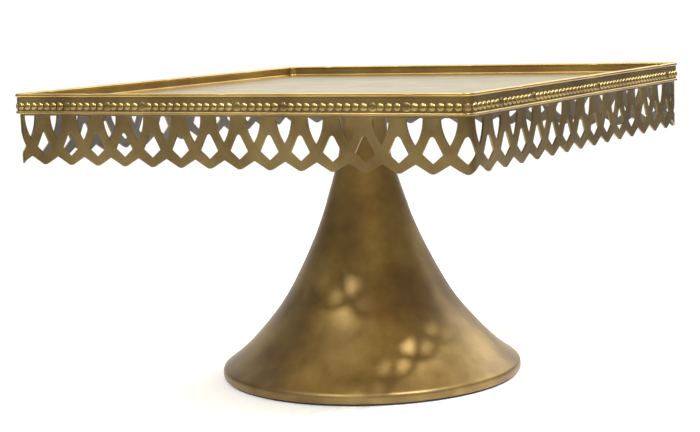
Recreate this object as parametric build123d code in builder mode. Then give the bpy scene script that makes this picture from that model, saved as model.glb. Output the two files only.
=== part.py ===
from build123d import *
import math
import os

# A square metal cake stand: a shallow tray with a rolled rim, a beaded band and a pierced
# skirt of crossing arches, carried on a spun trumpet foot. A stud welded under the tray
# screws down into a nut inside the neck of the foot.
# Millimetres, +Z up, origin on the table under the middle of the foot.

# ---- driving sizes: the whole stand -------------------------------------------------
overall_height = 187.8
foot_radius = 95.0
neck_radius = 14.6

# ---- driving sizes: the square and its corners --------------------------------------
arch_pitch = 20.0
arches_per_side = 15
skirt_bend_radius = 7.0
rim_bend_radius = 5.0

# ---- driving sizes: the tray --------------------------------------------------------
recess_depth = 6.2
tray_sheet = 1.0
tray_wall = 0.7
roll_radius = 1.1
roll_lean = 0.3

# ---- driving sizes: the beaded band, its lines as depths below the top of the rim ----
band_sheet = 0.6
band_gap = 0.1
bead_line = 7.5
bead_radius = 3.0
bead_sink = 1.8
beads_per_arch = 4
lower_roll_line = 11.2
lower_roll_radius = 0.9
corner_bead_radius = 2.3
corner_bead_sink = 1.2

# ---- driving sizes: the pierced skirt, as depths below the top of the rim -----------
skirt_sheet = 1.0
skirt_top = 7.8
window_top = 13.0
window_tip = 27.4
window_half_width = 4.9
window_corner_radius = 0.9
kite_point = 20.5
kite_waist = 31.8
kite_tip = 36.7
kite_half_width = 6.1
kite_top_radius = 2.2
kite_corner_radius = 0.5
scallop_valley = 36.9
scallop_point = 42.4
scallop_tip_radius = 3.5

# ---- driving sizes: the screwed joint under the tray --------------------------------
plate_radius = 45.0
plate_sheet = 2.0
plate_chamfer = 0.5
washer_outer_radius = 24.0
washer_inner_radius = 6.0
washer_sheet = 1.0
flange_radius = 26.0
flange_sheet = 2.5
flange_hole_radius = 4.5
stud_radius = 4.0
stud_past_nut = 1.0
stud_chamfer = 0.6
nut_across_flats = 13.0
nut_height = 6.5
thread_clearance = 0.05

# ---- driving sizes: the trumpet foot ------------------------------------------------
# The flare's points are shares of the way out from neck to lip and up from lip to neck.
foot_sheet = 1.0
flare_shape = [
    (0.838, 0.067),
    (0.684, 0.152),
    (0.519, 0.261),
    (0.347, 0.421),
    (0.21, 0.579),
    (0.078, 0.788),
]
flare_lip_slope = 0.75
flare_inner_steps = 7
straight_neck = 20.0
lip_height = 5.4
shoulder_radius = 3.6
lip_edge_radius = 1.3
turned_in_width = 9.0
ring_sheet = 1.2
ring_width = 6.0
ring_inset = 2.0

# ---- sizes worked out from those above ----------------------------------------------
half_side = arches_per_side * arch_pitch / 2 + skirt_bend_radius * (1 - math.pi / 4)
rim_z = overall_height
roll_half_side = half_side + roll_lean
tray_floor_z = rim_z - recess_depth
plate_top_z = tray_floor_z - tray_sheet
washer_top_z = plate_top_z - plate_sheet
flange_top_z = washer_top_z - washer_sheet
neck_top_z = flange_top_z - flange_sheet
stud_length = washer_sheet + flange_sheet + nut_height + stud_past_nut
band_half_side = half_side + band_sheet
band_bend_radius = rim_bend_radius + band_sheet
band_top = 2 * roll_radius + band_gap
skirt_bend_length = skirt_bend_radius * math.pi / 4
skirt_cut = 3 * skirt_sheet
near = 0.1
sides = {"front": 0, "right": 90, "back": 180, "left": 270}
front = Plane(origin=(0, 0, 0), x_dir=(1, 0, 0), z_dir=(0, -1, 0))
corners = [
    Plane(origin=(0, 0, 0), x_dir=(1, 1, 0), z_dir=(1, -1, 0)),
    Plane(origin=(0, 0, 0), x_dir=(1, -1, 0), z_dir=(-1, -1, 0)),
]
os.makedirs("parts", exist_ok=True)


def side_wall(half, corner, thickness, low, high):
    """Adds one side of a square wall to the part, mitred at the middle of its two corners."""
    with BuildSketch(Plane.XY.offset(low)) as section:
        RectangleRounded(2 * half, 2 * half, corner)
        inside = 2 * (half - thickness)
        RectangleRounded(inside, inside, corner - thickness, mode=Mode.SUBTRACT)
        with BuildLine():
            Polyline((0, 0), (2 * half, -2 * half), (-2 * half, -2 * half), close=True)
        make_face(mode=Mode.INTERSECT)
    extrude(section.sketch, amount=high - low)


def side_roll(half, corner, level, radius):
    """Adds a round roll along one side, from the middle of one corner to the middle of the next."""
    straight = half - corner
    slant = corner * math.sin(math.pi / 4)
    turn = corner * (1 - math.cos(math.pi / 4))
    with BuildLine(Plane.XY.offset(level)) as path:
        JernArc((-straight - slant, turn - half), tangent=(1, -1), radius=corner, arc_size=45)
        Line((-straight, -half), (straight, -half))
        JernArc((straight, -half), tangent=(1, 0), radius=corner, arc_size=45)
    with BuildSketch(Plane(origin=path.wire() @ 0, z_dir=path.wire() % 0)) as section:
        Circle(radius)
    sweep(section.sketch, path=path.wire())


def round_the_bend(distance):
    """How far from the middle of a skirt corner a point is when seen square-on to that corner."""
    if distance <= skirt_bend_length:
        return skirt_bend_radius * math.sin(distance / skirt_bend_radius)
    past = distance - skirt_bend_length
    return (skirt_bend_radius + past) * math.sin(math.pi / 4)


def flat(distance):
    """The same on a flat side, where nothing is foreshortened."""
    return distance


def kite_hole(middle, seen):
    """Adds one kite-shaped hole to the sketch, with its height in the local y."""
    waist = seen(kite_half_width)
    with BuildLine() as outline:
        Polyline(
            (middle, rim_z - kite_point),
            (middle + waist, rim_z - kite_waist),
            (middle, rim_z - kite_tip),
            (middle - waist, rim_z - kite_waist),
            close=True,
        )
    make_face(outline.edges())


def round_kites():
    """Rounds every corner of the kites in the sketch: the top ones widely, the others a little."""
    tops = vertices().filter_by_position(Axis.Y, rim_z - kite_point - near, rim_z)
    fillet(tops, radius=kite_top_radius)
    lowest = rim_z - kite_tip - near
    others = vertices().filter_by_position(Axis.Y, lowest, rim_z - kite_waist + near)
    fillet(others, radius=kite_corner_radius)


def window(middle):
    """Adds one shield-shaped window: a straight top, and sides that curve down to a point."""
    top = rim_z - window_top
    with BuildLine() as outline:
        Line((middle - window_half_width, top), (middle + window_half_width, top))
        TangentArc((middle + window_half_width, top), (middle, rim_z - window_tip), tangent=(0, -1))
        TangentArc((middle - window_half_width, top), (middle, rim_z - window_tip), tangent=(0, -1))
    make_face(outline.edges())


def scallops(first, last, seen):
    """Adds everything below the scalloped edge, from the valley at first to the valley at last."""
    step = arch_pitch / 2
    count = round((last - first) / step)
    levels = [scallop_valley, scallop_point]
    floor = rim_z - 2 * scallop_point
    edge = []
    for i in range(count + 1):
        across = first + i * step
        edge.append((math.copysign(seen(abs(across)), across), rim_z - levels[i % 2]))
    with BuildLine() as outline:
        Polyline((edge[0][0], floor), *edge, (edge[-1][0], floor), close=True)
    make_face(outline.edges())
    point = rim_z - scallop_point
    tips = vertices().filter_by_position(Axis.Y, point - near, point + near)
    fillet(tips, radius=scallop_tip_radius)


# ---- tray: floor, upright wall and rolled rim, pressed from one sheet ----------------
with BuildPart() as tray:
    with BuildSketch(Plane.XY.offset(plate_top_z)):
        RectangleRounded(2 * half_side, 2 * half_side, rim_bend_radius)
    extrude(amount=rim_z - roll_radius - plate_top_z)
    with BuildSketch(Plane.XY.offset(tray_floor_z)):
        inside = 2 * (half_side - tray_wall)
        RectangleRounded(inside, inside, rim_bend_radius - tray_wall)
    extrude(amount=overall_height - tray_floor_z, mode=Mode.SUBTRACT)
    with BuildLine(Plane.XY.offset(rim_z - roll_radius)) as rim_path:
        FilletPolyline(
            (-roll_half_side, -roll_half_side),
            (roll_half_side, -roll_half_side),
            (roll_half_side, roll_half_side),
            (-roll_half_side, roll_half_side),
            radius=rim_bend_radius + roll_lean,
            close=True,
        )
    with BuildSketch(Plane(origin=rim_path.wire() @ 0, z_dir=rim_path.wire() % 0)):
        Circle(roll_radius)
    sweep(path=rim_path.wire())
tray.part.label = "tray"
export_step(tray.part, "parts/tray.step")

# ---- beaded band: a pressed strip with a row of domes over a half-round roll ---------
# The beads keep the rhythm of the arches, four to each, measured along the band itself.
band_half_length = band_half_side - band_bend_radius * (1 - math.pi / 4)
bead_pitch = 2 * band_half_length / (arches_per_side * beads_per_arch)
beads_on_side = arches_per_side * beads_per_arch - 1
with BuildPart() as front_band:
    low = rim_z - lower_roll_line
    side_wall(band_half_side, band_bend_radius, band_sheet, low, rim_z - band_top)
    side_roll(band_half_side, band_bend_radius, low, lower_roll_radius)
    bead_plane = front.offset(band_half_side - bead_sink)
    with Locations(bead_plane):
        with Locations((0, rim_z - bead_line)):
            with GridLocations(bead_pitch, 1, beads_on_side, 1):
                Sphere(bead_radius)
    # nothing reaches behind the back of the strip, which lies flat on the tray and the skirt
    with BuildSketch(Plane.XY.offset(rim_z - 2 * lower_roll_line)):
        RectangleRounded(2 * half_side, 2 * half_side, rim_bend_radius)
    extrude(amount=2 * lower_roll_line, mode=Mode.SUBTRACT)

for name, turn in sides.items():
    with BuildPart() as band:
        add(front_band.part, rotation=(0, 0, turn))
    band.part.label = f"beaded_band_{name}"
    export_step(band.part, f"parts/beaded_band_{name}.step")

# ---- corner beads: one blob over each mitred joint of the band -----------------------
with BuildPart() as corner_beads:
    reach = math.sqrt(2) * (band_half_side - band_bend_radius) + band_bend_radius
    with PolarLocations(reach - corner_bead_sink, 4, start_angle=45):
        with Locations((0, 0, rim_z - bead_line)):
            Sphere(corner_bead_radius)
    with BuildSketch(Plane.XY.offset(rim_z - 2 * bead_line)):
        RectangleRounded(2 * band_half_side, 2 * band_half_side, band_bend_radius)
    extrude(amount=2 * bead_line, mode=Mode.SUBTRACT)
corner_beads.part.label = "corner_beads"
export_step(corner_beads.part, "parts/corner_beads.step")

# ---- pierced skirt: a strip of crossing arches on each side, half an arch on each corner
with BuildPart() as front_skirt:
    side_wall(half_side, skirt_bend_radius, skirt_sheet, rim_z - scallop_point, rim_z - skirt_top)
    outside = front.offset(half_side + skirt_sheet)
    kites_on_side = arches_per_side - 1
    with BuildSketch(outside):
        for i in range(kites_on_side):
            kite_hole((i - (kites_on_side - 1) / 2) * arch_pitch, flat)
        round_kites()
    extrude(amount=-skirt_cut, mode=Mode.SUBTRACT)
    with BuildSketch(outside):
        for i in range(arches_per_side):
            window((i - (arches_per_side - 1) / 2) * arch_pitch)
        tops = vertices().filter_by_position(Axis.Y, rim_z - window_top - near, rim_z)
        fillet(tops, radius=window_corner_radius)
    extrude(amount=-skirt_cut, mode=Mode.SUBTRACT)
    last_valley = (arches_per_side - 1) * arch_pitch / 2
    with BuildSketch(outside):
        scallops(-last_valley, last_valley, flat)
    extrude(amount=-skirt_cut, mode=Mode.SUBTRACT)
    for corner in corners:
        past_corner = corner.offset(math.sqrt(2) * half_side)
        with BuildSketch(past_corner):
            kite_hole(0, round_the_bend)
            round_kites()
        extrude(amount=-arch_pitch, mode=Mode.SUBTRACT)
        with BuildSketch(past_corner):
            scallops(-arch_pitch / 2, arch_pitch / 2, round_the_bend)
        extrude(amount=-arch_pitch, mode=Mode.SUBTRACT)

for name, turn in sides.items():
    with BuildPart() as skirt:
        add(front_skirt.part, rotation=(0, 0, turn))
    skirt.part.label = f"pierced_skirt_{name}"
    export_step(skirt.part, f"parts/pierced_skirt_{name}.step")

# ---- mounting plate and stud: welded under the middle of the tray --------------------
with BuildPart() as mounting_plate:
    with BuildSketch(Plane.XY.offset(washer_top_z)):
        Circle(plate_radius)
    extrude(amount=plate_sheet)
    chamfer(edges().group_by(Axis.Z)[0], length=plate_chamfer)
mounting_plate.part.label = "mounting_plate"
export_step(mounting_plate.part, "parts/mounting_plate.step")

with BuildPart() as stud:
    with BuildSketch(Plane.XY.offset(washer_top_z)):
        Circle(stud_radius)
    extrude(amount=-stud_length)
    chamfer(edges().group_by(Axis.Z)[0], length=stud_chamfer)
stud.part.label = "threaded_stud"
export_step(stud.part, "parts/threaded_stud.step")

# ---- seat washer: a loose ring between the plate and the foot ------------------------
with BuildPart() as seat_washer:
    with BuildSketch(Plane.XY.offset(flange_top_z)):
        Circle(washer_outer_radius)
        Circle(washer_inner_radius, mode=Mode.SUBTRACT)
    extrude(amount=washer_sheet)
seat_washer.part.label = "seat_washer"
export_step(seat_washer.part, "parts/seat_washer.step")

# ---- top flange and weld nut: what the stud screws into, at the top of the neck ------
with BuildPart() as top_flange:
    with BuildSketch(Plane.XY.offset(neck_top_z)):
        Circle(flange_radius)
        Circle(flange_hole_radius, mode=Mode.SUBTRACT)
    extrude(amount=flange_sheet)
top_flange.part.label = "top_flange"
export_step(top_flange.part, "parts/top_flange.step")

with BuildPart() as weld_nut:
    with BuildSketch(Plane.XY.offset(neck_top_z)):
        RegularPolygon(nut_across_flats / 2, 6, major_radius=False)
        Circle(stud_radius + thread_clearance, mode=Mode.SUBTRACT)
    extrude(amount=-nut_height)
weld_nut.part.label = "weld_nut"
export_step(weld_nut.part, "parts/weld_nut.step")

# ---- trumpet foot: one spun shell from the neck down to the turned-in lip ------------
# The outside is a flare that leaves the neck upright and reaches the lip at a low slope.
lip_z = ring_sheet + lip_height
flare_top_z = neck_top_z - straight_neck
flare_points = [
    (
        neck_radius + out * (foot_radius - neck_radius),
        lip_z + up * (flare_top_z - lip_z),
    )
    for out, up in flare_shape
]
inner_radius = foot_radius - foot_sheet
inner_lip_z = lip_z + foot_sheet * (flare_lip_slope - math.hypot(1, flare_lip_slope))
with BuildPart() as foot:
    with BuildSketch(Plane.XZ):
        with BuildLine() as outside:
            flare = Spline(
                (foot_radius, lip_z),
                *flare_points,
                (neck_radius, flare_top_z),
                tangents=[(-1, flare_lip_slope), (0, 1)],
                tangent_scalars=[1, 1],
            )
            # the inside of the sheet follows the flare, one thickness square to it
            inner_points = [
                flare @ share + (flare % share).rotate(Axis.Z, 90) * foot_sheet
                for share in (step / flare_inner_steps for step in range(1, flare_inner_steps))
            ]
            Spline(
                (inner_radius, inner_lip_z),
                *inner_points,
                (neck_radius - foot_sheet, flare_top_z),
                tangents=[(-1, flare_lip_slope), (0, 1)],
                tangent_scalars=[1, 1],
            )
            Polyline(
                (neck_radius, flare_top_z),
                (neck_radius, neck_top_z),
                (neck_radius - foot_sheet, neck_top_z),
                (neck_radius - foot_sheet, flare_top_z),
            )
            Polyline(
                (foot_radius, lip_z),
                (foot_radius, ring_sheet),
                (foot_radius - turned_in_width, ring_sheet),
                (foot_radius - turned_in_width, ring_sheet + foot_sheet),
                (inner_radius, ring_sheet + foot_sheet),
                (inner_radius, inner_lip_z),
            )
        make_face()
        rounded = {
            (foot_radius, lip_z): shoulder_radius,
            (inner_radius, inner_lip_z): shoulder_radius - foot_sheet,
            (foot_radius, ring_sheet): lip_edge_radius,
            (inner_radius, ring_sheet + foot_sheet): lip_edge_radius - foot_sheet,
        }
        for place, radius in rounded.items():
            fillet(vertices().sort_by_distance(place)[0], radius=radius)
    revolve(axis=Axis.Z)
foot.part.label = "trumpet_foot"
export_step(foot.part, "parts/trumpet_foot.step")

# ---- base ring: soft edging glued under the turned-in lip, which the stand rests on --
with BuildPart() as base_ring:
    with BuildSketch(Plane.XY):
        Circle(foot_radius - ring_inset)
        Circle(foot_radius - ring_inset - ring_width, mode=Mode.SUBTRACT)
    extrude(amount=ring_sheet)
base_ring.part.label = "base_ring"
export_step(base_ring.part, "parts/base_ring.step")
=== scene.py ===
# %% [markdown]
# # A square cake stand in antique gold
# The stand is a shallow square tray with a rolled rim, a beaded band and a pierced skirt of
# crossing arches, screwed onto a spun trumpet foot. The working model is already made, so this
# notebook loads it as a fixed frame and builds the finished metalwork around it.

# %% Load the frame
import math
import random

import bpy
from mathutils import Matrix, Vector
from mathutils.bvhtree import BVHTree


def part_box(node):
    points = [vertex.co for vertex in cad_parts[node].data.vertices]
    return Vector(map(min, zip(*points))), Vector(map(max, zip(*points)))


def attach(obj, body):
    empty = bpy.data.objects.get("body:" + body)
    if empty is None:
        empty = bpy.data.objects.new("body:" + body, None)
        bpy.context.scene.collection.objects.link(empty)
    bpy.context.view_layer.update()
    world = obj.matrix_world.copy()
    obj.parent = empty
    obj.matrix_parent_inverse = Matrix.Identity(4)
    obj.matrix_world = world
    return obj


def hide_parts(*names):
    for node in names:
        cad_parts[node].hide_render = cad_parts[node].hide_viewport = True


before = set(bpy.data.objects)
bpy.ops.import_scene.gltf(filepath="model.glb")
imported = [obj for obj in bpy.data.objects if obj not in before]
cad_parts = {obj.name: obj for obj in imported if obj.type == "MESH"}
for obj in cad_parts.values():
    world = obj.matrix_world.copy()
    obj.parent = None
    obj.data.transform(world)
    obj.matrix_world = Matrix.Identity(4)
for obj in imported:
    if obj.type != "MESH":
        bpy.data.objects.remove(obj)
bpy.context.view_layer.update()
MM = 0.001

# %% [markdown]
# ## Sizes
# Everything hangs from the top of the rim and the outside of the skirt. Both come from the
# frame, so the metalwork lands where the working model has it. The bends and the pitch of the
# arches are repeated here, because a box of the frame doesn't show them.

# %% Read the sizes from the frame
rim_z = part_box("tray")[1].z
skirt_low, skirt_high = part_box("pierced_skirt_front")
half_side = -skirt_low.y
skirt_bend = 7.0 * MM
rim_bend = 5.0 * MM
arch_pitch = 20.0 * MM
arches_per_side = 15
SIDES = {"front": 0, "right": 90, "back": 180, "left": 270}
SLACK = 0.05 * MM
print("half side", round(half_side, 4), "rim", round(rim_z, 4))

# %% [markdown]
# ## Camera
# A long lens from a little above the tray, turned so that one corner comes forward. The camera
# is placed by its own axes: where it looks, what is to its right, and so what is up.

# %% Place the camera
camera_data = bpy.data.cameras.new("camera")
camera_data.lens = 83.2
camera_data.sensor_width = 36.0
camera_data.clip_start = 0.05
camera_data.clip_end = 20.0
camera = bpy.data.objects.new("camera", camera_data)
bpy.context.scene.collection.objects.link(camera)
bpy.context.scene.camera = camera
stands_at = Vector((0.5193, -0.8744, 0.2348))
look = Vector((-0.5151, 0.8470, -0.1312)).normalized()
across = Vector((0.8563, 0.5152, -0.0363)).normalized()
up = across.cross(look).normalized()
camera.matrix_world = Matrix((
    (across.x, up.x, -look.x, stands_at.x),
    (across.y, up.y, -look.y, stands_at.y),
    (across.z, up.z, -look.z, stands_at.z),
    (0, 0, 0, 1),
))
print("camera stands", round(stands_at.length, 3), "m away")

# %% [markdown]
# ## Floor
# A pale matt floor, a hair below the foot so that the two never share a plane. It gives back a
# little light of its own, which keeps it near white without washing out the stand's shadow.

# %% Lay the floor
def clear_selection():
    """Leave edit mode and deselect everything, so the next operator acts on one thing only."""
    if bpy.context.object and bpy.context.object.mode != "OBJECT":
        bpy.ops.object.mode_set(mode="OBJECT")
    bpy.ops.object.select_all(action="DESELECT")


def plain_paint(name, colour, roughness, glow):
    """One colour of ordinary matt paint, for the stage only."""
    material = bpy.data.materials.new(name)
    material.use_nodes = True
    shader = material.node_tree.nodes["Principled BSDF"]
    shader.inputs["Base Color"].default_value = (*colour, 1)
    shader.inputs["Roughness"].default_value = roughness
    shader.inputs["Emission Color"].default_value = (*colour, 1)
    shader.inputs["Emission Strength"].default_value = glow
    return material


clear_selection()
bpy.ops.mesh.primitive_plane_add(size=1.5, location=(0, 0, -0.2 * MM))
floor = bpy.context.object
floor.name = "floor"
floor.data.materials.append(plain_paint("floor_paint", (0.92, 0.92, 0.92), 0.9, 0.3))
print("floor", floor.dimensions.x, "m wide")

# %% [markdown]
# ## Lights
# Two big soft boxes shape the metal. Two small ones, a window and a lamp, throw the pattern of
# the pierced skirt onto the foot: the smaller a light is, the sharper the lace that it draws.

# %% Hang the lights
lace_falls_on = (0.03, -0.03, 0.04)


def soft_light(name, place, size, power, target=(0, 0, 0.12)):
    """A square softbox that faces the stand."""
    light = bpy.data.lights.new(name, "AREA")
    light.shape = "SQUARE"
    light.size = size
    light.energy = power
    lamp = bpy.data.objects.new(name, light)
    bpy.context.scene.collection.objects.link(lamp)
    lamp.location = place
    lamp.rotation_mode = "QUATERNION"
    lamp.rotation_quaternion = (Vector(target) - Vector(place)).to_track_quat("-Z", "Y")
    print(name, power, "W")


soft_light("key", (-0.7, -0.5, 1.7), 0.9, 9)
soft_light("back", (0.6, 1.6, 1.2), 1.2, 14)
soft_light("window", (1.05, -0.40, 1.46), 0.05, 26, target=lace_falls_on)
soft_light("lamp", (-0.15, -1.25, 1.25), 0.06, 7, target=lace_falls_on)

# %% [markdown]
# ## Sky
# Metal needs something dark to reflect as well as something bright. The room is white overhead
# and behind the tray, dim on the near side and dimmer on the far right, as if the stand stood on
# a table by a white wall. Each bright part is a soft round glow in one direction of the sky. The
# camera itself sees plain white past the floor.

# %% Soft glows in the sky
world = bpy.data.worlds.new("studio")
bpy.context.scene.world = world
world.use_nodes = True
sky_nodes, sky_links = world.node_tree.nodes, world.node_tree.links
towards = sky_nodes.new("ShaderNodeTexCoord").outputs["Generated"]


def glow(direction, inner, outer, strength):
    """A soft round area of light, full within the inner angle and gone at the outer one."""
    facing = sky_nodes.new("ShaderNodeVectorMath")
    facing.operation = "DOT_PRODUCT"
    facing.inputs[1].default_value = Vector(direction).normalized()
    sky_links.new(towards, facing.inputs[0])
    soft = sky_nodes.new("ShaderNodeMapRange")
    soft.interpolation_type = "SMOOTHSTEP"
    soft.inputs["From Min"].default_value = math.cos(math.radians(outer))
    soft.inputs["From Max"].default_value = math.cos(math.radians(inner))
    soft.inputs["To Max"].default_value = strength
    sky_links.new(facing.outputs["Value"], soft.inputs["Value"])
    return soft.outputs["Result"]


glows = [
    glow((0, 0.1, 1), 20, 62, 1.15),
    glow((-0.52, 0.85, 0.14), 16, 48, 0.75),
    glow((-0.55, -0.85, -0.15), 15, 60, 0.14),
    glow((0.25, -0.75, 0.65), 8, 34, 0.6),
]
print(len(glows), "glows")

# %% [markdown]
# The strengths are added to a dim base, and a switch gives the camera's own rays plain white.
# The Standard view keeps white white; the filmic one would turn the background grey.

# %% Add them up
dim_base = 0.22
plain_white = 1.05


def total(values, base):
    """Add several strengths to a base."""
    result = None
    for value in values:
        adder = sky_nodes.new("ShaderNodeMath")
        adder.operation = "ADD"
        sky_links.new(value, adder.inputs[0])
        if result is None:
            adder.inputs[1].default_value = base
        else:
            sky_links.new(result, adder.inputs[1])
        result = adder.outputs["Value"]
    return result


room = total(glows, dim_base)
seen = sky_nodes.new("ShaderNodeLightPath").outputs["Is Camera Ray"]
choose = sky_nodes.new("ShaderNodeMix")
choose.data_type = "FLOAT"
choose.inputs["B"].default_value = plain_white
sky_links.new(seen, choose.inputs["Factor"])
sky_links.new(room, choose.inputs["A"])
sky = sky_nodes["Background"]
sky_links.new(choose.outputs["Result"], sky.inputs["Strength"])
sky.inputs["Color"].default_value = (1, 0.99, 0.97, 1)
bpy.context.scene.view_settings.view_transform = "Standard"
print("sky nodes", len(sky_nodes))

# %% [markdown]
# ## Gold finishes
# The stand is plated steel with an antique wash: warm gold where it is rubbed, browner where
# the wash stays. A flat gold would look like plastic. One recipe with broad cloudy colour, an
# uneven polish and a fine grain does for every metal here, with its own colours and numbers.
# First come three small tools for joining nodes.

# %% Small tools for nodes
def noise(nodes, links, coordinates, scale, detail=4.0, roughness=0.55):
    """A noise texture on the given coordinates."""
    texture = nodes.new("ShaderNodeTexNoise")
    texture.inputs["Scale"].default_value = scale
    texture.inputs["Detail"].default_value = detail
    texture.inputs["Roughness"].default_value = roughness
    links.new(coordinates, texture.inputs["Vector"])
    return texture.outputs["Fac"]


def ramp(nodes, links, value, stops):
    """A colour ramp driven by a value; stops are (place, colour)."""
    node = nodes.new("ShaderNodeValToRGB")
    while len(node.color_ramp.elements) < len(stops):
        node.color_ramp.elements.new(0.5)
    for element, (place, colour) in zip(node.color_ramp.elements, stops):
        element.position = place
        element.color = (*colour, 1)
    links.new(value, node.inputs["Fac"])
    return node.outputs["Color"]


def bumps(nodes, links, height, strength, distance):
    """A bump node that reads a height."""
    node = nodes.new("ShaderNodeBump")
    node.inputs["Strength"].default_value = strength
    node.inputs["Distance"].default_value = distance
    links.new(height, node.inputs["Height"])
    return node


# %% [markdown]
# The colour comes from clouds a few centimetres across, and the polish from smaller patches. The
# grain is a bump far finer than a millimetre; stretched along one axis it reads as the marks of
# brushing or spinning. Sheet that was pressed also waves slightly, which a second bump gives.

# %% The recipe for plated metal
def plated_metal(name, stops, gloss, grain_scale, grain_height, stretch=(1, 1, 1),
                 waviness=0.0, metallic=1.0):
    """Metal with cloudy colour, uneven polish and a fine grain."""
    material = bpy.data.materials.new(name)
    material.use_nodes = True
    nodes, links = material.node_tree.nodes, material.node_tree.links
    shader = nodes["Principled BSDF"]
    shader.inputs["Metallic"].default_value = metallic
    place = nodes.new("ShaderNodeTexCoord").outputs["Object"]
    tone = ramp(nodes, links, noise(nodes, links, place, 28.0, 5.0), stops)
    links.new(tone, shader.inputs["Base Color"])
    polish = nodes.new("ShaderNodeMapRange")
    polish.inputs["To Min"].default_value, polish.inputs["To Max"].default_value = gloss
    links.new(noise(nodes, links, place, 60.0, 6.0, 0.65), polish.inputs["Value"])
    links.new(polish.outputs["Result"], shader.inputs["Roughness"])
    mapping = nodes.new("ShaderNodeMapping")
    mapping.inputs["Scale"].default_value = stretch
    links.new(place, mapping.inputs["Vector"])
    grain = noise(nodes, links, mapping.outputs["Vector"], grain_scale, 3.0)
    fine = bumps(nodes, links, grain, 0.35, grain_height)
    if waviness:
        broad = bumps(nodes, links, noise(nodes, links, place, 14.0, 1.0), 1.0, waviness)
        links.new(broad.outputs["Normal"], fine.inputs["Normal"])
    links.new(fine.outputs["Normal"], shader.inputs["Normal"])
    print(name, len(nodes), "nodes")
    return material


# %% [markdown]
# Each finish is a few stops of colour, from where the wash stays to where it is rubbed. The
# upward faces of the beads and of the rim's roll get the brightest gold, partly the wear of
# proud relief and partly a painted highlight that stands in for light from above. The back of
# the skirt got little plating and is a dull grey, and the parts under the tray are zinc.

# %% Mix the finishes
ANTIQUE = [(0.32, (0.18, 0.12, 0.045)), (0.5, (0.25, 0.175, 0.07)), (0.7, (0.34, 0.245, 0.095))]
SPUN = [(0.34, (0.17, 0.105, 0.04)), (0.5, (0.23, 0.15, 0.052)), (0.66, (0.32, 0.22, 0.075))]
PALE_REFLECTION = [(0.3, (0.46, 0.37, 0.17)), (0.7, (0.60, 0.49, 0.25))]
STEEL = [(0.3, (0.46, 0.46, 0.47)), (0.7, (0.62, 0.62, 0.61))]
RUBBED_AND_HIGHLIGHT = [(0.3, (0.42, 0.30, 0.10)), (0.7, (0.62, 0.46, 0.17))]
WALL_REFLECTION = [(0.32, (0.30, 0.17, 0.06)), (0.68, (0.46, 0.31, 0.10))]
DULL = [(0.3, (0.17, 0.155, 0.15)), (0.7, (0.25, 0.23, 0.215))]
# The brightest gold is partly wear and partly a painted highlight for the upward faces of the relief.
rubbed_and_highlight_gold = plated_metal("rubbed_and_highlight_gold", RUBBED_AND_HIGHLIGHT, (0.28, 0.42), 900.0, 0.06 * MM)
# Painted reflection: the tray's walls are the same plated sheet as its floor, given a darker, redder
# gold for the brown reflection that they show.
wall_reflection_gold = plated_metal("wall_reflection_gold", WALL_REFLECTION, (0.26, 0.4), 900.0, 0.08 * MM, waviness=0.3 * MM)
antique_gold = plated_metal("antique_gold", ANTIQUE, (0.26, 0.44), 1100.0, 0.12 * MM)
dull_back = plated_metal("dull_back", DULL, (0.42, 0.6), 700.0, 0.08 * MM)
spun_gold = plated_metal("spun_gold", SPUN, (0.34, 0.46), 600.0, 0.10 * MM,
                         stretch=(0.2, 0.2, 2.0), metallic=0.72)
# Painted reflection: the pale gold of the tray's floor stands in for the white surroundings reflected
# at a low angle.
tray_gold = plated_metal("tray_gold", PALE_REFLECTION, (0.2, 0.3), 700.0, 0.05 * MM, waviness=0.6 * MM)
zinc_plate = plated_metal("zinc_plate", STEEL, (0.3, 0.5), 1200.0, 0.06 * MM)

# %% [markdown]
# ## The painted reflections on the floor of the tray
# The middle of the tray's floor is a pale gold, a painted reflection of the white surroundings
# seen at a low angle; by the walls it turns a deeper yellow, a painted reflection of the walls.
# A square falls off from the middle by the larger of the distances along X and Y, and that
# blends the pale gold into the deep one.

# %% Paint the reflections on the floor of the tray
wall_reflection_from, wall_reflection_to = 0.085, 0.150
wall_reflection_tint = (0.42, 0.31, 0.06, 1)
tray_nodes, tray_links = tray_gold.node_tree.nodes, tray_gold.node_tree.links
aside = tray_nodes.new("ShaderNodeVectorMath")
aside.operation = "ABSOLUTE"
tray_links.new(tray_nodes.new("ShaderNodeTexCoord").outputs["Object"], aside.inputs[0])
parts = tray_nodes.new("ShaderNodeSeparateXYZ")
tray_links.new(aside.outputs["Vector"], parts.inputs["Vector"])
furthest = tray_nodes.new("ShaderNodeMath")
furthest.operation = "MAXIMUM"
tray_links.new(parts.outputs["X"], furthest.inputs[0])
tray_links.new(parts.outputs["Y"], furthest.inputs[1])
wall_reflection_mask = tray_nodes.new("ShaderNodeMapRange")
wall_reflection_mask.interpolation_type = "SMOOTHSTEP"
wall_reflection_mask.inputs["From Min"].default_value = wall_reflection_from
wall_reflection_mask.inputs["From Max"].default_value = wall_reflection_to
tray_links.new(furthest.outputs["Value"], wall_reflection_mask.inputs["Value"])
tray_colour = tray_nodes["Principled BSDF"].inputs["Base Color"]
blend = tray_nodes.new("ShaderNodeMix")
blend.data_type = "RGBA"
tray_links.new(wall_reflection_mask.outputs["Result"], blend.inputs["Factor"])
tray_links.new(tray_colour.links[0].from_socket, blend.inputs[6])
blend.inputs[7].default_value = wall_reflection_tint
tray_links.new(blend.outputs[2], tray_colour)
print("the tray's floor fades from", wall_reflection_from, "to", wall_reflection_to, "m out")

# %% [markdown]
# ## Edging
# The ring under the foot and the washer in the joint are a dull black edging that keeps metal
# off the table and off metal. It is nearly plain, with a faint speckle in colour and height.

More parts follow.
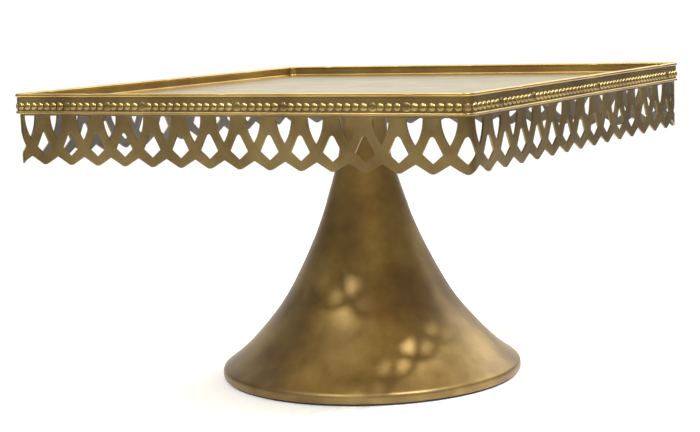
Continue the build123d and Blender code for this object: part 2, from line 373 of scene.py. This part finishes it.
# %% Make the edging
def rubber(name, colour):
    """Dull black edging with a faint speckle."""
    material = bpy.data.materials.new(name)
    material.use_nodes = True
    nodes, links = material.node_tree.nodes, material.node_tree.links
    shader = nodes["Principled BSDF"]
    speckle = noise(nodes, links, nodes.new("ShaderNodeTexCoord").outputs["Object"], 1500.0, 2.0)
    darker = tuple(c * 0.6 for c in colour)
    tone = ramp(nodes, links, speckle, [(0.4, darker), (0.6, colour)])
    links.new(tone, shader.inputs["Base Color"])
    shader.inputs["Roughness"].default_value = 0.75
    pitted = bumps(nodes, links, speckle, 1.0, 0.05 * MM)
    links.new(pitted.outputs["Normal"], shader.inputs["Normal"])
    return material


edging = rubber("edging", (0.05, 0.045, 0.05))
print(len(bpy.data.materials), "materials")

# %% [markdown]
# ## Working in the flat
# The skirt and the beaded band are pressed flat and only then folded round the tray, and they
# are modelled the same way: flat along X, facing -Y, with the outer face at Y = 0. One front
# piece is made and copied to the other three sides. Every piece starts as a primitive of the
# right size, whose place and turn are then put into its mesh.

# %% Start a piece
def take(piece):
    """Select one piece and nothing else, as the next operator needs."""
    clear_selection()
    piece.select_set(True)
    bpy.context.view_layer.objects.active = piece


def start(name, operator, **settings):
    """Add a primitive, name it and return it."""
    clear_selection()
    operator(**settings)
    piece = bpy.context.object
    piece.name = name
    piece.data.name = name
    return piece


def settle(piece):
    """Put a piece's place, turn and scale into its mesh."""
    take(piece)
    bpy.ops.object.transform_apply(location=True, rotation=True, scale=True)


def report(piece):
    """Print how many faces a piece has and its size in millimetres."""
    print(piece.name, len(piece.data.polygons), "faces", *(round(s / MM, 1) for s in piece.dimensions))


bend_length = skirt_bend * math.pi / 4
skirt_reach = half_side - skirt_bend + bend_length
print("flat length of one side", round(2 * skirt_reach, 4))

# %% [markdown]
# ## Pierced skirt
# The skirt is thin sheet with a row of pierced shapes: shields above, kites below, and a
# scalloped lower edge, so that what is left reads as crossing arches. It could be drawn as one
# outline with holes, but punching is simpler and is how the real one is made. A grid plane
# already has a vertex at each turn of the scallop.

# %% Lay out the strip
skirt_sheet = 1.0 * MM
skirt_top = skirt_high.z
valley = rim_z - 36.9 * MM
point = rim_z - 42.4 * MM
strip_cells = 2 * (arches_per_side + 2)
strip_length = strip_cells * arch_pitch / 2
skirt = start("pierced_skirt", bpy.ops.mesh.primitive_grid_add, x_subdivisions=strip_cells,
              y_subdivisions=1, size=1, rotation=(math.pi / 2, 0, 0),
              location=(0, 0, (skirt_top + point) / 2))
skirt.scale = (strip_length, skirt_top - point, 1)
settle(skirt)
report(skirt)

# %% [markdown]
# The lower edge becomes a zigzag when every second vertex is lifted to the valley. Faces, edges
# and vertices are picked in code by where they are, as a hand would pick them by eye.

# %% Scallop the lower edge
def edit(piece, kind, wanted):
    """Enter edit mode with only the wanted vertices, edges or faces selected."""
    take(piece)
    bpy.ops.object.mode_set(mode="EDIT")
    bpy.ops.mesh.select_mode(type=kind)
    bpy.ops.mesh.select_all(action="DESELECT")
    bpy.ops.object.mode_set(mode="OBJECT")
    mesh = piece.data
    parts = {"VERT": mesh.vertices, "EDGE": mesh.edges, "FACE": mesh.polygons}[kind]
    for part in parts:
        part.select = wanted(part)
    bpy.ops.object.mode_set(mode="EDIT")


def every(part):
    return True


def done():
    bpy.ops.object.mode_set(mode="OBJECT")


def at(vertex, x, z):
    return abs(vertex.co.x - x) < SLACK and abs(vertex.co.z - z) < SLACK


lifted = range(1 - strip_cells // 2, strip_cells // 2, 2)
for cell in lifted:
    edit(skirt, "VERT", lambda vertex: at(vertex, cell * arch_pitch / 2, point))
    bpy.ops.transform.translate(value=(0, 0, valley - point))
    done()
print(len(lifted), "valleys")

# %% [markdown]
# The points of the zigzag are rounded with a bevel on their vertices, the grid's inner edges are
# dissolved, and the strip gets the thickness of its sheet, behind the face that shows.

# %% Round the points and thicken the strip
point_cut_back = 1.9 * MM


def finish_with(piece, kind, **settings):
    """Add a modifier and apply it."""
    take(piece)
    modifier = piece.modifiers.new(kind.lower(), kind)
    for key, value in settings.items():
        setattr(modifier, key, value)
    bpy.ops.object.modifier_apply(modifier=modifier.name)


edit(skirt, "VERT", lambda vertex: vertex.co.z < point + SLACK
     and abs(vertex.co.x) < strip_length / 2 - MM)
bpy.ops.mesh.bevel(offset=point_cut_back, offset_type="OFFSET", segments=6, affect="VERTICES")
done()
edit(skirt, "FACE", every)
bpy.ops.mesh.dissolve_limited(angle_limit=0.01)
done()
finish_with(skirt, "SOLIDIFY", thickness=skirt_sheet, offset=-1)
report(skirt)

# %% [markdown]
# ## Kites
# The punch for a kite is a circle of four points: the upper one is pulled up and broadly
# rounded, the lower one is pulled in, and the three sharp corners are only just softened.

# %% Shape the kite's punch
kite_half_width = 6.1 * MM
kite_top = rim_z - 20.5 * MM
waist = rim_z - 31.8 * MM
kite_tip = rim_z - 36.7 * MM
kite_top_round = 4.1 * MM
kite_corner_round = 0.45 * MM
punch_depth = 6 * MM
kite = start("kite_cutter", bpy.ops.mesh.primitive_circle_add, vertices=4, radius=kite_half_width,
             fill_type="NGON", location=(0, -punch_depth / 2, waist), rotation=(math.pi / 2, 0, 0))
settle(kite)
edit(kite, "VERT", lambda vertex: vertex.co.z > waist + MM)
bpy.ops.transform.translate(value=(0, 0, kite_top - waist - kite_half_width))
done()
edit(kite, "VERT", lambda vertex: vertex.co.z < waist - MM)
bpy.ops.transform.translate(value=(0, 0, kite_tip - waist + kite_half_width))
done()
edit(kite, "VERT", lambda vertex: vertex.co.z > waist + MM)
bpy.ops.mesh.bevel(offset=kite_top_round, segments=8, affect="VERTICES")
done()
edit(kite, "VERT", lambda vertex: vertex.co.z < waist - 4 * MM
     or abs(vertex.co.x) > kite_half_width - 0.1 * MM)
bpy.ops.mesh.bevel(offset=kite_corner_round, segments=3, affect="VERTICES")
done()
report(kite)

# %% [markdown]
# The outline is pulled through the sheet, and an array repeats it at the pitch of the arches, so
# a single cut makes the whole row. Its faces are turned outwards, or the cut would be reversed.

# %% Repeat the kites
def row_of(cutter, count):
    """Repeat a cutter at the pitch of the arches, with the row centred on the side."""
    for vertex in cutter.data.vertices:
        vertex.co.x -= (count - 1) * arch_pitch / 2
    finish_with(cutter, "ARRAY", count=count, use_relative_offset=False,
                use_constant_offset=True, constant_offset_displace=(arch_pitch, 0, 0))


def face_outwards(piece):
    """Merge doubled vertices and turn every face outwards."""
    edit(piece, "FACE", every)
    bpy.ops.mesh.remove_doubles(threshold=0.004 * MM)
    bpy.ops.mesh.normals_make_consistent(inside=False)
    done()


edit(kite, "FACE", every)
bpy.ops.mesh.extrude_region_move(TRANSFORM_OT_translate={"value": (0, punch_depth, 0)})
done()
row_of(kite, arches_per_side + 3)
face_outwards(kite)
report(kite)

# %% [markdown]
# ## Shields
# Each side of a shield is an arc. Two wide discs, side by side, overlap in just that pointed
# shape, and a straight cut makes its flat top.

# %% Overlap two discs
window_top = rim_z - 13.0 * MM
window_tip = rim_z - 27.4 * MM
window_half = 4.9 * MM
window_corner_round = 0.9 * MM
drop = window_top - window_tip
arc = (window_half ** 2 + drop ** 2) / (2 * window_half)
discs = []
for way in (-1, 1):
    disc = start("arc_disc", bpy.ops.mesh.primitive_cylinder_add, vertices=200, radius=arc,
                 depth=punch_depth, location=(way * (window_half - arc), 0, window_top),
                 rotation=(math.pi / 2, 0, 0))
    settle(disc)
    discs.append(disc)
shield, other_disc = discs
finish_with(shield, "BOOLEAN", operation="INTERSECT", object=other_disc, solver="EXACT")
bpy.data.objects.remove(other_disc)
shield.name = "shield_cutter"
report(shield)

# %% [markdown]
# The top corners are rounded before the row is made: they are the two edges that run through the
# sheet at the level of the flat top.

# %% Cut the top, round its corners and repeat the shields
def slice_off(piece, place, normal):
    """Cut away all that lies past a plane, and close the cut."""
    edit(piece, "FACE", every)
    bpy.ops.mesh.bisect(plane_co=place, plane_no=normal, clear_outer=True, use_fill=True)
    done()


def runs_through(piece, edge):
    """Whether an edge runs through the sheet."""
    first, second = (piece.data.vertices[i].co for i in edge.vertices)
    return abs(first.y - second.y) > 2 * MM


slice_off(shield, (0, 0, window_top), (0, 0, 1))
edit(shield, "EDGE", lambda edge: runs_through(shield, edge)
     and shield.data.vertices[edge.vertices[0]].co.z > window_top - SLACK)
bpy.ops.mesh.bevel(offset=window_corner_round, segments=4)
done()
row_of(shield, arches_per_side + 2)
face_outwards(shield)
report(shield)

# %% [markdown]
# ## Piercing and softening
# The two rows are cut out of the strip. A small bevel on the punched edges then gives them the
# glint that plated edges have.

# %% Pierce the skirt
edge_softness = 0.14 * MM
for cutter in (kite, shield):
    finish_with(skirt, "BOOLEAN", operation="DIFFERENCE", object=cutter, solver="EXACT")
    bpy.data.objects.remove(cutter)
face_outwards(skirt)
edit(skirt, "FACE", every)
bpy.ops.mesh.dissolve_limited(angle_limit=0.005)
done()
print("pierced", len(skirt.data.polygons), "faces")
finish_with(skirt, "BEVEL", width=edge_softness, segments=2, limit_method="ANGLE",
            angle_limit=math.radians(50), use_clamp_overlap=True)
report(skirt)

# %% [markdown]
# ## Folding
# A side ends half way round its corners, so its ends are trimmed there. A flat face can't bend,
# so the ends are first cut across where they will fold. The fold itself is a little geometry:
# what lies past the straight part is carried round the corner by its angle.

# %% Trim, cut across and fold
def trim_ends(piece, reach):
    """Cut away all that lies past the ends and close the cuts."""
    slice_off(piece, (reach, 0, 0), (1, 0, 0))
    slice_off(piece, (-reach, 0, 0), (-1, 0, 0))


def bend_places(half, corner, steps=10):
    """Where a flat piece needs cuts, so that both of its ends can fold."""
    straight = half - corner
    length = corner * math.pi / 4
    places = [straight + length * step / steps for step in range(steps)]
    return places + [-place for place in places]


def cut_across(piece, places):
    """Cut a piece straight through at each place along X, so that it can fold there."""
    for place in places:
        edit(piece, "FACE", every)
        bpy.ops.mesh.bisect(plane_co=(place, 0, 0), plane_no=(1, 0, 0))
        done()


def fold(piece, half, corner):
    """Fold a flat piece round half of the corner at each of its ends."""
    straight = half - corner
    for vertex in piece.data.vertices:
        along, out, height = vertex.co.x, -vertex.co.y, vertex.co.z
        past = abs(along) - straight
        if past <= 0:
            vertex.co = (along, -half - out, height)
            continue
        angle = past / corner
        sideways = straight + (corner + out) * math.sin(angle)
        forward = straight + (corner + out) * math.cos(angle)
        vertex.co = (math.copysign(sideways, along), -forward, height)


trim_ends(skirt, skirt_reach)
cut_across(skirt, bend_places(half_side, skirt_bend))
fold(skirt, half_side, skirt_bend)
report(skirt)

# %% [markdown]
# ## Two finishes on one sheet
# The plating is thin on the inside of the skirt, which looks grey beside the outside. A face
# belongs to the inside when it looks back towards the middle of the stand, or, on a corner,
# towards the axis of the bend.

# %% Dress both faces of the skirt
def smooth(piece, degrees):
    """Smooth the shading, except over edges sharper than an angle."""
    take(piece)
    bpy.ops.object.shade_smooth_by_angle(angle=math.radians(degrees), keep_sharp_edges=False)


def dress(piece, *finishes):
    """Give a piece its finishes, of which the first covers it until faces choose another."""
    piece.data.materials.clear()
    for finish in finishes:
        piece.data.materials.append(finish)


smooth(skirt, 12)
dress(skirt, antique_gold, dull_back)
bend_axis = half_side - skirt_bend
for face in skirt.data.polygons:
    outward = Vector((0, -1, 0))
    if abs(face.center.x) > bend_axis:
        axis = Vector((math.copysign(bend_axis, face.center.x), -bend_axis, 0))
        outward = Vector((face.center.x, face.center.y, 0)) - axis
    face.material_index = 1 if face.normal.dot(outward) < -0.5 * outward.length else 0
print(sum(face.material_index for face in skirt.data.polygons), "faces are inside")

# %% [markdown]
# Each side gets a copy with its own mesh, turned round the middle of the stand, and the turn is
# then put into the mesh. The copies ride on the tray, and each stands for its node.

# %% The four skirts
def own_copy(piece, name):
    """Copy a piece together with its mesh."""
    twin = piece.copy()
    twin.data = piece.data.copy()
    twin.name = name
    twin.data.name = name
    bpy.context.scene.collection.objects.link(twin)
    return twin


def copy_to_side(piece, name, turn):
    """Copy the front piece to another side of the square."""
    twin = own_copy(piece, name)
    twin.rotation_euler = (0, 0, math.radians(turn))
    settle(twin)
    return twin


for side, turn in SIDES.items():
    twin = copy_to_side(skirt, f"skirt_{side}", turn)
    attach(twin, "tray")
    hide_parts(f"pierced_skirt_{side}")
bpy.data.objects.remove(skirt)
report(twin)

# %% [markdown]
# ## Beaded band
# A narrow strip hides the join of skirt and tray: a row of round beads pressed from behind over
# a half-round roll. The strip and the roll are made first, flat, with cuts where they will fold.

# %% The strip and its lower roll
band_sheet = 0.6 * MM
band_half = half_side + band_sheet
band_bend = rim_bend + band_sheet
band_reach = band_half - band_bend * (1 - math.pi / 4)
band_uncut = 2.1 * band_reach
band_low = rim_z - 11.2 * MM
band_high = rim_z - 2.3 * MM
strip = start("band_strip", bpy.ops.mesh.primitive_cube_add, size=1,
              location=(0, band_sheet / 2, (band_low + band_high) / 2))
strip.scale = (band_uncut, band_sheet, band_high - band_low)
settle(strip)
roll = start("band_roll", bpy.ops.mesh.primitive_cylinder_add, vertices=20, radius=0.9 * MM,
             depth=band_uncut, location=(0, 0, band_low), rotation=(0, math.pi / 2, 0))
settle(roll)
slice_off(roll, (0, band_sheet, 0), (0, 1, 0))
for part in (strip, roll):
    trim_ends(part, band_reach)
    cut_across(part, bend_places(band_half, band_bend, 8))
    report(part)

# %% [markdown]
# ## Beads
# Beads are low domes, so a coarse sphere cut in half and pressed flatter does for each of them.
# There are over two hundred, so each has only about a hundred faces.

# %% The plain bead
bead_pitch = 2 * band_reach / (arches_per_side * 4)
bead_level = rim_z - 7.5 * MM
bead_radius = 2.38 * MM
bead_height = 1.15 * MM
plain_bead = start("bead", bpy.ops.mesh.primitive_uv_sphere_add, segments=16, ring_count=12,
                   radius=bead_radius, location=(0, 0, bead_level), rotation=(math.pi / 2, 0, 0))
slice_off(plain_bead, (0, 0.01 * MM, 0), (0, 1, 0))
settle(plain_bead)
for vertex in plain_bead.data.vertices:
    vertex.co.y *= bead_height / bead_radius
face_outwards(plain_bead)
report(plain_bead)

# %% [markdown]
# No two beads are quite alike. Most differ a little in height and width; a few were flattened
# and pushed aside where the band was spot-welded to the wall. The flattened ones are listed by
# their number along each side, and the rest is drawn at random from a seed of the side's own.

# %% One row of beads
FLATTENED = {"front": (7, 13, 18, 31, 37, 48, 52), "right": (6, 14, 32, 55),
             "back": (9, 27, 50), "left": (12, 33, 49)}
pushed_aside = 0.4 * MM


def row_of_beads(side):
    """The beads of one side, each with its own height and width."""
    random.seed(side)
    count = arches_per_side * 4 - 1
    beads = []
    for number in range(count):
        place = (number - (count - 1) / 2) * bead_pitch
        flattened = number in FLATTENED[side]
        squash = random.uniform(0.3, 0.45) if flattened else random.uniform(0.88, 1.0)
        grow = random.uniform(1.02, 1.12) if flattened else random.uniform(0.95, 1.0)
        one = own_copy(plain_bead, "bead")
        for vertex in one.data.vertices:
            vertex.co.x = place + vertex.co.x * grow + (pushed_aside if flattened else 0)
            vertex.co.y *= squash
            vertex.co.z = bead_level + (vertex.co.z - bead_level) * grow
        beads.append(one)
    return beads


front_beads = row_of_beads("front")
print(len(front_beads), "beads on the front")

# %% [markdown]
# Strip, roll and beads are joined while flat and folded together. The upward side of what stands
# proud gets a brighter gold: a painted highlight for light from above, and partly the wear of
# relief that is handled and polished.

# %% Join, fold and dress one side, with a painted highlight on the tops
def join(pieces, name):
    """Join pieces into the first one."""
    clear_selection()
    for piece in pieces:
        piece.select_set(True)
    bpy.context.view_layer.objects.active = pieces[0]
    bpy.ops.object.join()
    pieces[0].name = name
    pieces[0].data.name = name
    return pieces[0]


def beaded_side(name, beads):
    """The strip, its lower roll and a row of beads, joined, folded and dressed."""
    flat_parts = [own_copy(part, "band_part") for part in (strip, roll)]
    band = join(flat_parts + beads, name)
    fold(band, band_half, band_bend)
    smooth(band, 40)
    dress(band, antique_gold, rubbed_and_highlight_gold)
    # Painted highlight: the upward faces of the proud relief get the brighter gold, for light from
    # above; partly also wear.
    for face in band.data.polygons:
        proud = -face.center.y > band_half + 0.15 * MM
        face.material_index = 1 if proud and face.normal.z > 0.12 else 0
    return band


bands = {"front": beaded_side("band_front", front_beads)}
report(bands["front"])

# %% The other sides of the band
for side in list(SIDES)[1:]:
    bands[side] = beaded_side(f"band_{side}", row_of_beads(side))
for side, band in bands.items():
    band.rotation_euler = (0, 0, math.radians(SIDES[side]))
    settle(band)
    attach(band, "tray")
    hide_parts(f"beaded_band_{side}")
for part in (strip, roll, plain_bead):
    bpy.data.objects.remove(part)
print(len(bands), "bands")

# %% [markdown]
# ## Solder at the corners
# The four bands meet at the corners, where a blob of solder stands in for a bead. It is a dome
# that has slumped: flattened, pulled sideways and a little lumpy. Two waves of different length
# make the lumps, and each corner starts them elsewhere.

# %% The corner blobs
blob_radius = 2.0 * MM
blob_sink = 0.3 * MM
lumpiness = 0.06
blobs = []
corner_reach = math.sqrt(2) * (band_half - band_bend) + band_bend
for turn in (-45, 45, 135, 225):
    blob = start("corner_blob", bpy.ops.mesh.primitive_uv_sphere_add, segments=24, ring_count=14,
                 radius=blob_radius)
    blob.scale = (0.55, 1.0, 1.1)
    settle(blob)
    for vertex in blob.data.vertices:
        lump = math.sin(900 * vertex.co.y + turn) + math.sin(1300 * vertex.co.z + 2 * turn)
        vertex.co *= 1 + lumpiness * lump
    blob.location = (corner_reach - blob_sink, 0, bead_level)
    settle(blob)
    blob.rotation_euler = (0, 0, math.radians(turn))
    settle(blob)
    blobs.append(blob)
corner_blobs = join(blobs, "corner_blobs")
smooth(corner_blobs, 60)
dress(corner_blobs, spun_gold)
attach(corner_blobs, "tray")
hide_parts("corner_beads")
report(corner_blobs)

# %% [markdown]
# ## Tray
# The tray is one sheet: a flat floor, a tight bend, a low wall, and an edge curled outwards into
# a round roll. Its section is drawn once, starting from a ring for the curl. One piece of the
# ring is left open just below the top of the wall, so that the sheet can run into it.

# %% Draw the curl
sheet = 0.7 * MM
floor_sheet = 1.0 * MM
roll_radius = 1.1 * MM
roll_out = 0.3 * MM
same_point = 0.01 * MM
floor_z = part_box("mounting_plate")[1].z + floor_sheet
roll_middle = rim_z - roll_radius
section = start("tray_side", bpy.ops.mesh.primitive_circle_add, vertices=20, radius=roll_radius,
                rotation=(0, math.pi / 2, 0), location=(0, -roll_out, roll_middle))
settle(section)


def nearest(piece, place):
    """The place of the vertex nearest to a place."""
    closest = min(piece.data.vertices, key=lambda vertex: (vertex.co - Vector(place)).length)
    return closest.co.copy()


def below_wall_top(edge):
    """The one piece of the ring that is left open."""
    ends = [section.data.vertices[i].co for i in edge.vertices]
    touches = min((end - wall_top).length for end in ends) < same_point
    return touches and min(end.z for end in ends) < wall_top.z - SLACK


wall_top = nearest(section, (0, 0.6 * MM, roll_middle - 0.65 * MM))
edit(section, "EDGE", below_wall_top)
bpy.ops.mesh.delete(type="EDGE")
done()
print("the wall leaves the roll at", [round(c / MM, 2) for c in wall_top])

# %% [markdown]
# From the open end the line is extruded three times: a short slope onto the wall, down the wall,
# and a little way along the floor. The corner at its foot is rounded, as a press leaves it.

# %% Draw the wall and the edge of the floor
wall_slope = 0.5 * MM
floor_strip = 3.3 * MM
bend_round = 0.8 * MM
edit(section, "VERT", lambda vertex: (vertex.co - wall_top).length < same_point)
for move in ((0, sheet - wall_top.y, -wall_slope),
             (0, 0, floor_z - wall_top.z + wall_slope),
             (0, floor_strip, 0)):
    bpy.ops.mesh.extrude_region_move(TRANSFORM_OT_translate={"value": move})
done()
wall_foot = nearest(section, (0, sheet, floor_z))
edit(section, "VERT", lambda vertex: (vertex.co - wall_foot).length < same_point)
bpy.ops.mesh.bevel(offset=bend_round, segments=4, affect="VERTICES")
done()
print("section", len(section.data.vertices), "points")

# %% [markdown]
# The section is pulled along one side. The rim has been knocked in three places; each dent is a
# soft dip in the roll, and it needs a few extra cuts to bend over. Then the side is folded like
# the skirt and the band.

# %% Pull the section along the side, dent it and fold it
rim_length = half_side - rim_bend * (1 - math.pi / 4)
section.location.x = -rim_length
settle(section)
edit(section, "EDGE", every)
bpy.ops.mesh.extrude_region_move(TRANSFORM_OT_translate={"value": (2 * rim_length, 0, 0)})
done()
dents = ((-0.093, 0.30), (0.001, 0.22), (0.118, 0.34))
dent_half_width = 2.4 * MM
dent_cuts = [place + step * 1.5 * MM for place, depth in dents for step in range(-4, 5)]
cut_across(section, bend_places(half_side, rim_bend) + dent_cuts)
for vertex in section.data.vertices:
    if vertex.co.z > roll_middle - 0.3 * MM:
        for place, depth in dents:
            near = math.exp(-((vertex.co.x - place) / dent_half_width) ** 2)
            vertex.co.z -= depth * MM * near
fold(section, half_side, rim_bend)
report(section)

# %% [markdown]
# Four such sides share their mitred ends, so merging them closes the square, and the floor is
# filled in between.

# %% Close the square and fill the floor
floor_edge = half_side - sheet - floor_strip
walls = [section]
for side, turn in list(SIDES.items())[1:]:
    walls.append(copy_to_side(section, f"wall_{side}", turn))
tray_piece = join(walls, "tray_sheet")
edit(tray_piece, "FACE", every)
bpy.ops.mesh.remove_doubles(threshold=0.02 * MM)
bpy.ops.mesh.normals_make_consistent(inside=False)
done()
edit(tray_piece, "VERT", lambda vertex: abs(vertex.co.z - floor_z) < same_point
     and max(abs(vertex.co.x), abs(vertex.co.y)) < floor_edge + SLACK)
bpy.ops.mesh.edge_face_add()
done()
report(tray_piece)

# %% [markdown]
# The drawn side is the one on show, so the thickness goes behind it: below the floor, outside
# the wall and into the curl. The floor is a full millimetre, so that it rests on the plate.

# %% Give the tray its thickness
widest_face = max(tray_piece.data.polygons, key=lambda face: face.area)
if widest_face.normal.z < 0:
    edit(tray_piece, "FACE", every)
    bpy.ops.mesh.flip_normals()
    done()
finish_with(tray_piece, "SOLIDIFY", thickness=sheet, offset=-1, use_even_offset=False)
edit(tray_piece, "VERT", lambda vertex: abs(vertex.co.z - floor_z + sheet) < 0.02 * MM)
bpy.ops.transform.translate(value=(0, 0, sheet - floor_sheet))
done()
report(tray_piece)

# %% [markdown]
# The floor keeps its pale gold with its painted reflections, the walls get a darker, redder gold
# as a painted reflection, and the upward top of the roll gets the brighter gold, a painted
# highlight that is partly wear.

# %% Dress the tray
smooth(tray_piece, 40)
dress(tray_piece, tray_gold, wall_reflection_gold, rubbed_and_highlight_gold)
for face in tray_piece.data.polygons:
    # Painted highlight: the upward top of the roll gets the brighter gold, partly also wear.
    if face.center.z > roll_middle and face.normal.z > 0.55:
        face.material_index = 2
    # Painted reflection: the walls get the darker, redder gold.
    elif abs(face.normal.z) < 0.8:
        face.material_index = 1
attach(tray_piece, "tray")
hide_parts("tray")
print("rubbed", sum(face.material_index == 2 for face in tray_piece.data.polygons), "faces")

# %% [markdown]
# ## Trumpet foot
# The foot is spun on a lathe from one disc: a neck that opens into a wide flare, a rounded
# shoulder, a short upright lip, and an edge turned in underneath. Its outline is measured on the
# frame, by sighting in from outside at levels that lie closer together where it curves more.

# %% Measure the outline on the frame
foot_low, foot_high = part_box("trumpet_foot")
foot_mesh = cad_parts["trumpet_foot"].data
shell = BVHTree.FromPolygons(
    [vertex.co for vertex in foot_mesh.vertices],
    [tuple(face.vertices) for face in foot_mesh.polygons],
)


def outer_radius(level):
    """How far out the foot reaches at a level in millimetres."""
    outside, off_the_seam = 0.2, 0.003
    sight = Vector((outside, off_the_seam, level * MM))
    hit = shell.ray_cast(sight, Vector((-1, 0, 0)))[0]
    return math.hypot(hit.x, hit.y)


LEVELS = (1.25, 1.4, 1.7, 2.1, 2.6, 3.2, 3.9, 4.6, 5.3, 5.9, 6.5, 7.1, 7.8, 8.6, 9.6, 11, 13.2,
          15.6, 18, 21, 24.5, 28.5, 33, 38, 44, 51, 59, 68, 78, 89, 100, 110, 120, 130, 139, 148, 160)
turned_in_edge = 86.0 * MM
outline = [(turned_in_edge, foot_low.z), (outer_radius(1.25) - 0.2 * MM, foot_low.z)]
outline += [(outer_radius(level), level * MM) for level in LEVELS]
outline.append((outer_radius(172), foot_high.z))
print(len(outline), "points, widest", round(max(radius for radius, level in outline), 4))

# %% [markdown]
# Blender's spin is the lathe. The outline starts as a single point, is extruded from point to
# point and spun once round. Its doubles are merged before its faces are turned outwards, and
# only then does Solidify give it the thickness of the sheet, on the inside.

# %% Spin the foot
foot_sheet = 1.0 * MM
foot = start("trumpet", bpy.ops.mesh.primitive_plane_add, size=2 * MM,
             location=(outline[0][0], 0, outline[0][1]))
settle(foot)
edit(foot, "VERT", every)
bpy.ops.mesh.merge(type="CENTER")
for before, after in zip(outline, outline[1:]):
    move = (after[0] - before[0], 0, after[1] - before[1])
    bpy.ops.mesh.extrude_region_move(TRANSFORM_OT_translate={"value": move})
bpy.ops.mesh.select_all(action="SELECT")
bpy.ops.mesh.spin(steps=160, angle=2 * math.pi, center=(0, 0, 0), axis=(0, 0, 1))
done()
face_outwards(foot)
outside = sum(face.normal.dot(Vector((*face.center.xy, 0))) for face in foot.data.polygons)
if outside < 0:
    edit(foot, "FACE", every)
    bpy.ops.mesh.flip_normals()
    done()
finish_with(foot, "SOLIDIFY", thickness=foot_sheet, offset=-1, use_even_offset=True)
smooth(foot, 50)
dress(foot, spun_gold)
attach(foot, "foot")
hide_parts("trumpet_foot")
report(foot)

# %% [markdown]
# ## Stud
# The tray screws down on a short stud, which shows when the tray is unscrewed. Its thread is a
# real helix: one V of the profile, swept round and down by the screw modifier, a pitch for each
# turn. The V stays one shank's length below the top, which is left plain.

# %% Cut the stud's thread
stud_low, stud_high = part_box("threaded_stud")
stud_radius = stud_high.x
thread_pitch = 1.25 * MM
thread_depth = 0.6 * MM
thread_turns = 7
root = stud_radius - thread_depth
shank = stud_high.z - stud_low.z - thread_pitch * (thread_turns + 1)
stud = start("stud", bpy.ops.mesh.primitive_plane_add, size=MM, location=(root, 0, stud_high.z))
settle(stud)
edit(stud, "VERT", every)
bpy.ops.mesh.merge(type="CENTER")
for way in (1, -1):
    move = (way * thread_depth, 0, -thread_pitch / 2)
    bpy.ops.mesh.extrude_region_move(TRANSFORM_OT_translate={"value": move})
done()
for vertex in stud.data.vertices:
    vertex.co.z -= shank
finish_with(stud, "SCREW", angle=2 * math.pi, screw_offset=-thread_pitch, iterations=thread_turns,
            steps=28, render_steps=28, use_merge_vertices=True, merge_threshold=0.002 * MM)
report(stud)

# %% [markdown]
# A core fills the helix to just over its root and carries the shank. Its lower end is chamfered,
# which lets the stud find the nut.

# %% Fill the stud's core
core = start("stud_core", bpy.ops.mesh.primitive_cylinder_add, vertices=28, radius=root + 0.02 * MM,
             depth=stud_high.z - stud_low.z, location=(0, 0, (stud_high.z + stud_low.z) / 2))
settle(core)
edit(core, "EDGE", lambda edge: all(core.data.vertices[i].co.z < stud_low.z + 0.1 * MM
                                    for i in edge.vertices))
bpy.ops.mesh.bevel(offset=0.5 * MM, segments=1)
done()
stud = join([stud, core], "stud")
face_outwards(stud)
smooth(stud, 30)
dress(stud, zinc_plate)
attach(stud, "tray")
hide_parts("threaded_stud")
report(stud)

# %% [markdown]
# ## Nut
# The nut is a six-sided bar with the lower corners taken off and a hole through it. It is welded
# under the flange, inside the neck, with its corners where the frame has them.

# %% Shape the nut
nut_low, nut_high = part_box("weld_nut")
nut_height = nut_high.z - nut_low.z
across_corners = max(nut_high.x - nut_low.x, nut_high.y - nut_low.y)
turned = math.pi / 6 if nut_high.y - nut_low.y > nut_high.x - nut_low.x else 0
nut = start("nut", bpy.ops.mesh.primitive_cylinder_add, vertices=6, radius=across_corners / 2,
            depth=nut_height, location=(0, 0, (nut_high.z + nut_low.z) / 2))
nut.rotation_euler = (0, 0, math.pi / 2 - turned)
settle(nut)
edit(nut, "VERT", lambda vertex: vertex.co.z < nut_low.z + 0.1 * MM)
bpy.ops.mesh.bevel(offset=1.1 * MM, segments=1, affect="VERTICES")
done()
bore = start("nut_bore", bpy.ops.mesh.primitive_cylinder_add, vertices=40,
             radius=stud_radius + SLACK, depth=0.03, location=(0, 0, nut_low.z))
settle(bore)
finish_with(nut, "BOOLEAN", operation="DIFFERENCE", object=bore, solver="EXACT")
bpy.data.objects.remove(bore)
smooth(nut, 25)
dress(nut, zinc_plate)
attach(nut, "foot")
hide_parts("weld_nut")
report(nut)

# %% [markdown]
# ## The frame's own nodes
# Plate, flange, washer and ring are plain turned or cut parts, so their nodes stay as they are
# and only get a finish. The hidden nodes get one too, for any view that shows them.

# %% Dress the frame's own nodes
finishes = {
    "tray": tray_gold, "trumpet_foot": spun_gold, "corner_beads": antique_gold,
    "mounting_plate": zinc_plate, "threaded_stud": zinc_plate, "top_flange": zinc_plate,
    "weld_nut": zinc_plate, "seat_washer": edging, "base_ring": edging,
}
for side in SIDES:
    finishes[f"beaded_band_{side}"] = antique_gold
    finishes[f"pierced_skirt_{side}"] = antique_gold
for node, finish in finishes.items():
    dress(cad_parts[node], finish)
print(len(finishes), "nodes dressed")
